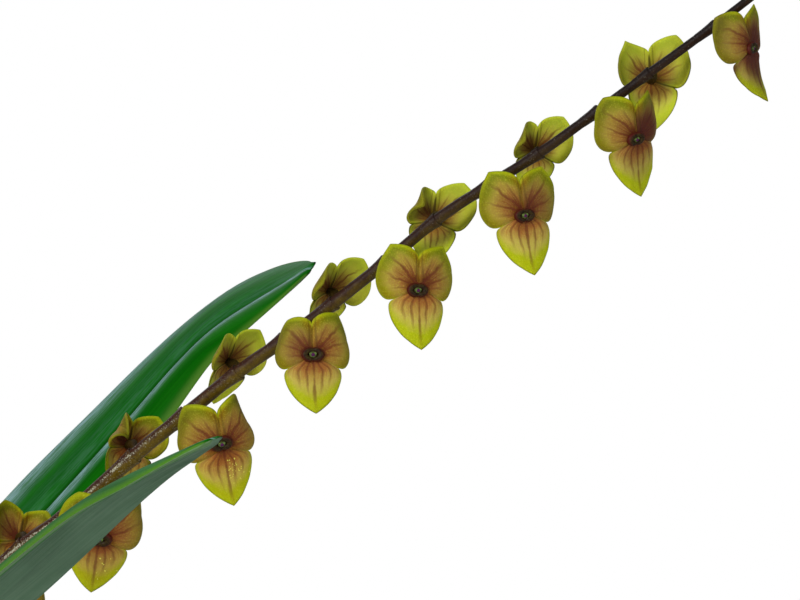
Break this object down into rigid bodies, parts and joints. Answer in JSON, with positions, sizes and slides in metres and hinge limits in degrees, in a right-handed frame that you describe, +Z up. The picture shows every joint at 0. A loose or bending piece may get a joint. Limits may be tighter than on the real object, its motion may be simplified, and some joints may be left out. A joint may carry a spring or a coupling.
{
  "type": "potted stelis superbiens orchid",
  "caption": "Potted orchid: a tuft of leafy stems in bark mix, with one long arching raceme of small three-lobed flowers in two ranks, in a plain terracotta pot.",
  "frame": {"origin": "middle of the pot's underside, on the surface it stands on", "axes": "+Z up; +X is the side that the raceme leans to; -Y faces the viewer"},
  "size_m": [0.4546, 0.2839, 0.3614],
  "materials": {
    "terracotta": "matte fired clay",
    "bark_mix": "rough chips",
    "stem_sheath": "dry papery sheath over a green stem",
    "leaf": "waxy green above, matte grey-green below",
    "raceme_stalk": "dark purple-brown with a whitish bloom",
    "sepal": "thin, translucent, red-veined"
  },
  "bodies": {
    "root": {"pot": "terracotta", "potting_mix": "bark_mix", "stem_01": "stem_sheath", "stem_02": "stem_sheath", "stem_03": "stem_sheath", "stem_04": "stem_sheath", "stem_05": "stem_sheath", "stem_06": "stem_sheath", "stem_07": "stem_sheath", "stem_08": "stem_sheath", "stem_09": "stem_sheath", "stem_10": "stem_sheath", "leaf_01": "leaf", "leaf_02": "leaf", "leaf_03": "leaf", "leaf_04": "leaf", "leaf_05": "leaf", "leaf_06": "leaf", "leaf_07": "leaf", "leaf_08": "leaf", "leaf_09": "leaf", "leaf_10": "leaf", "raceme": "raceme_stalk", "flower_01": "sepal", "flower_02": "sepal", "flower_03": "sepal", "flower_04": "sepal", "flower_05": "sepal", "flower_06": "sepal", "flower_07": "sepal", "flower_08": "sepal", "flower_09": "sepal", "flower_10": "sepal", "flower_11": "sepal", "flower_12": "sepal", "flower_13": "sepal", "flower_14": "sepal", "flower_15": "sepal", "flower_16": "sepal", "flower_17": "sepal", "flower_18": "sepal"}
  },
  "joints": []
}
